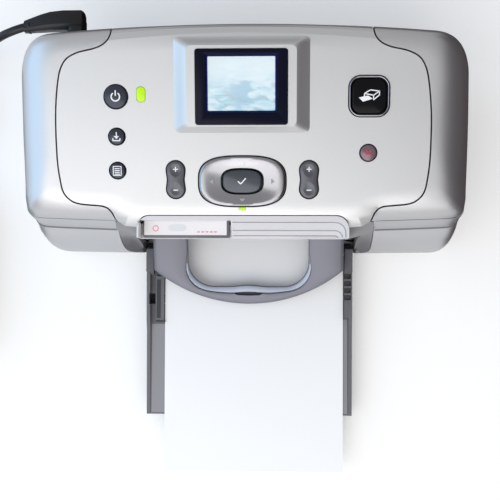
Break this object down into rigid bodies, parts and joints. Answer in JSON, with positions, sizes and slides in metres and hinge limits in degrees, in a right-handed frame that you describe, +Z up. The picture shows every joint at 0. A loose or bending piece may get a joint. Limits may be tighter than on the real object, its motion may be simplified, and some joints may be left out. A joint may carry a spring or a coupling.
{
  "type": "compact photo printer",
  "caption": "Compact photo printer with rounded silver body, tilted control panel with screen and keys, card slots in a stepped lip, arch-shaped output tray and fold-down paper tray.",
  "frame": {"origin": "on the table, under the middle of the printer's footprint with its loaded paper", "axes": "+X to the printer's right as its user sees it, +Y to the rear, +Z up from the feet"},
  "size_m": [0.3317, 0.2511, 0.1142],
  "materials": {
    "case_silver": "satin silver paint",
    "plate_silver": "satin pale silver paint",
    "end_silver": "satin silver paint",
    "throat_grey": "fine texture",
    "tray_grey": "fine texture",
    "lip_grey": "satin",
    "foot_rubber": "matt",
    "screw_steel": "plain",
    "screen_black": "gloss",
    "screen_glass": "clear",
    "screen_lit": "lit picture",
    "key_dark": "gloss",
    "key_grey": "satin",
    "pad_grey": "metallic sheen",
    "key_black": "gloss",
    "ring_chrome": "polished",
    "cancel_plum": "gloss",
    "light_green": "lit",
    "board_green": "solder mask",
    "socket_black": "plain",
    "card_white": "plain label",
    "door_grey": "satin",
    "guide_grey": "fine texture",
    "paper_white": "coated paper",
    "metal_shell": "plain",
    "steel_plate": "galvanised",
    "rod_steel": "polished",
    "roller_rubber": "matt",
    "gear_white": "plain",
    "pinion_brass": "plain",
    "cartridge_black": "plain",
    "belt_black": "matt",
    "station_grey": "plain",
    "cord_black": "satin"
  },
  "bodies": {
    "housing": {"base_case": "case_silver", "top_panel": "plate_silver", "left_end_cover": "end_silver", "right_end_cover": "end_silver", "throat_bezel": "throat_grey", "rubber_feet": "foot_rubber", "case_screws": "screw_steel", "lcd_frame": "screen_black", "lcd_window": "screen_glass", "lcd_module": "screen_lit", "print_ring": "ring_chrome", "power_light": "light_green", "card_light": "light_green", "keypad_board": "board_green", "card_slot_panel": "lip_grey", "card_reader_board": "board_green", "card_sockets": "socket_black", "photo_paper": "paper_white", "main_board": "board_green", "power_jack": "socket_black", "usb_socket": "metal_shell", "chassis": "steel_plate", "guide_rod": "rod_steel", "encoder_strip": "screen_glass", "drive_belt": "belt_black", "carriage_motor": "metal_shell", "feed_motor": "metal_shell", "platen": "station_grey", "service_station": "station_grey", "dc_plug": "cord_black", "dc_cord": "cord_black", "cord_coil": "cord_black", "power_adapter": "cartridge_black"},
    "power_key": {"power_button": "key_dark"},
    "save_key": {"save_button": "key_dark"},
    "menu_key": {"menu_button": "key_dark"},
    "zoom_key": {"zoom_rocker": "key_grey"},
    "copies_key": {"copies_rocker": "key_grey"},
    "arrow_cradle": {"nav_cradle": "socket_black"},
    "arrow_key": {"nav_pad": "pad_grey"},
    "ok_key": {"ok_button": "key_grey"},
    "print_key": {"print_button": "key_black"},
    "cancel_key": {"cancel_button": "cancel_plum"},
    "card": {"memory_card": "card_white"},
    "door": {"cartridge_door": "door_grey"},
    "arch": {"output_tray": "tray_grey"},
    "tray": {"input_tray": "tray_grey"},
    "guide": {"width_guide": "guide_grey"},
    "carriage": {"carriage": "cartridge_black", "ink_cartridge": "cartridge_black"},
    "drive_pulley": {"motor_pulley": "pinion_brass"},
    "far_pulley": {"idler_pulley": "gear_white"},
    "pinion": {"motor_pinion": "pinion_brass"},
    "middle_gear": {"idler_gear": "gear_white"},
    "feed_shaft": {"feed_roller": "roller_rubber"},
    "pinch_shaft": {"pinch_rollers": "roller_rubber"},
    "exit_shaft": {"exit_roller": "roller_rubber"},
    "star_shaft": {"star_wheels": "metal_shell"},
    "pick_gear": {"pick_gear_idler": "gear_white"},
    "pick_shaft": {"pick_roller": "roller_rubber"}
  },
  "joints": [
    {"name": "power_press", "type": "slide", "parent": "housing", "child": "power_key", "axis": [0, 0.1817, -0.9834], "range_m": [0, 0.0007], "stiffness_N_per_m": 250},
    {"name": "save_press", "type": "slide", "parent": "housing", "child": "save_key", "axis": [0, 0.1817, -0.9834], "range_m": [0, 0.0007], "stiffness_N_per_m": 250},
    {"name": "menu_press", "type": "slide", "parent": "housing", "child": "menu_key", "axis": [0, 0.1817, -0.9834], "range_m": [0, 0.0007], "stiffness_N_per_m": 250},
    {"name": "print_press", "type": "slide", "parent": "housing", "child": "print_key", "axis": [0, 0.1817, -0.9834], "range_m": [0, 0.0007], "stiffness_N_per_m": 250},
    {"name": "cancel_press", "type": "slide", "parent": "housing", "child": "cancel_key", "axis": [0, 0.1817, -0.9834], "range_m": [0, 0.0007], "stiffness_N_per_m": 250},
    {"name": "ok_press", "type": "slide", "parent": "housing", "child": "ok_key", "axis": [0, 0.1817, -0.9834], "range_m": [0, 0.0007], "stiffness_N_per_m": 250},
    {"name": "zoom_rock", "type": "hinge", "parent": "housing", "child": "zoom_key", "pos_m": [-0.032, 0.04378, 0.09481], "axis": [1, 0, 0], "range_deg": [-4, 4], "stiffness_Nm_per_rad": 0.05},
    {"name": "copies_rock", "type": "hinge", "parent": "housing", "child": "copies_key", "pos_m": [0.032, 0.04378, 0.09481], "axis": [1, 0, 0], "range_deg": [-4, 4], "stiffness_Nm_per_rad": 0.05},
    {"name": "arrow_up_down", "type": "hinge", "parent": "housing", "child": "arrow_cradle", "pos_m": [0, 0.04374, 0.09226], "axis": [1, 0, 0], "range_deg": [-2, 2], "stiffness_Nm_per_rad": 0.2},
    {"name": "arrow_left_right", "type": "hinge", "parent": "arrow_cradle", "child": "arrow_key", "pos_m": [0, 0.04374, 0.09226], "axis": [0, 0.9834, 0.1817], "range_deg": [-2, 2], "stiffness_Nm_per_rad": 0.2},
    {"name": "card_pull", "type": "slide", "parent": "housing", "child": "card", "axis": [0, 1, 0], "range_m": [-0.03, 0]},
    {"name": "door_open", "type": "hinge", "parent": "housing", "child": "door", "pos_m": [0, 0.0278, 0.0435], "axis": [-1, 0, 0], "range_deg": [-75, 0]},
    {"name": "tray_fold", "type": "hinge", "parent": "housing", "child": "tray", "pos_m": [0, 0.0123, 0.0085], "axis": [-1, 0, 0], "range_deg": [0, 86], "deforming": ["photo_paper"]},
    {"name": "arch_fold", "type": "hinge", "parent": "housing", "child": "arch", "pos_m": [0, 0.0238, 0.031], "axis": [-1, 0, 0], "range_deg": [0, 98]},
    {"name": "guide_slide", "type": "slide", "parent": "tray", "child": "guide", "axis": [1, 0, 0], "range_m": [-0.0018, 0]},
    {"name": "carriage_travel", "type": "slide", "parent": "housing", "child": "carriage", "axis": [1, 0, 0], "range_m": [-0.116, 0]},
    {"name": "drive_pulley_spin", "type": "hinge", "parent": "housing", "child": "drive_pulley", "pos_m": [0.074, 0.0848, 0.062], "axis": [0, 1, 0], "continuous": true},
    {"name": "far_pulley_spin", "type": "hinge", "parent": "housing", "child": "far_pulley", "pos_m": [-0.074, 0.0848, 0.062], "axis": [0, 1, 0], "continuous": true},
    {"name": "feed_spin", "type": "hinge", "parent": "housing", "child": "feed_shaft", "pos_m": [0, 0.0658, 0.0285], "axis": [1, 0, 0], "continuous": true},
    {"name": "pinion_spin", "type": "hinge", "parent": "housing", "child": "pinion", "pos_m": [-0.09, 0.0802, 0.0285], "axis": [1, 0, 0], "continuous": true},
    {"name": "middle_gear_spin", "type": "hinge", "parent": "housing", "child": "middle_gear", "pos_m": [-0.09, 0.0478, 0.0285], "axis": [1, 0, 0], "continuous": true},
    {"name": "exit_spin", "type": "hinge", "parent": "housing", "child": "exit_shaft", "pos_m": [0, 0.0298, 0.0285], "axis": [1, 0, 0], "continuous": true},
    {"name": "pinch_spin", "type": "hinge", "parent": "housing", "child": "pinch_shaft", "pos_m": [0, 0.0658, 0.0374], "axis": [1, 0, 0], "continuous": true},
    {"name": "star_spin", "type": "hinge", "parent": "housing", "child": "star_shaft", "pos_m": [0, 0.0298, 0.0376], "axis": [1, 0, 0], "continuous": true},
    {"name": "pick_gear_spin", "type": "hinge", "parent": "housing", "child": "pick_gear", "pos_m": [0.09, 0.05318, 0.02343], "axis": [1, 0, 0], "continuous": true},
    {"name": "pick_spin", "type": "hinge", "parent": "housing", "child": "pick_shaft", "pos_m": [0, 0.0439, 0.0197], "axis": [1, 0, 0], "continuous": true}
  ],
  "couplings": [
    {"joint": "arch_fold", "follows": "tray_fold", "ratio": 1.136},
    {"joint": "drive_pulley_spin", "follows": "carriage_travel", "rad_per_m": 250},
    {"joint": "far_pulley_spin", "follows": "carriage_travel", "rad_per_m": 250},
    {"joint": "pinion_spin", "follows": "feed_spin", "ratio": -2},
    {"joint": "middle_gear_spin", "follows": "feed_spin", "ratio": -1.1429},
    {"joint": "exit_spin", "follows": "feed_spin", "ratio": 1},
    {"joint": "pinch_spin", "follows": "feed_spin", "ratio": -1.8333},
    {"joint": "star_spin", "follows": "feed_spin", "ratio": -1.7188},
    {"joint": "pick_gear_spin", "follows": "feed_spin", "ratio": -2.4},
    {"joint": "pick_spin", "follows": "feed_spin", "ratio": 1.6}
  ]
}
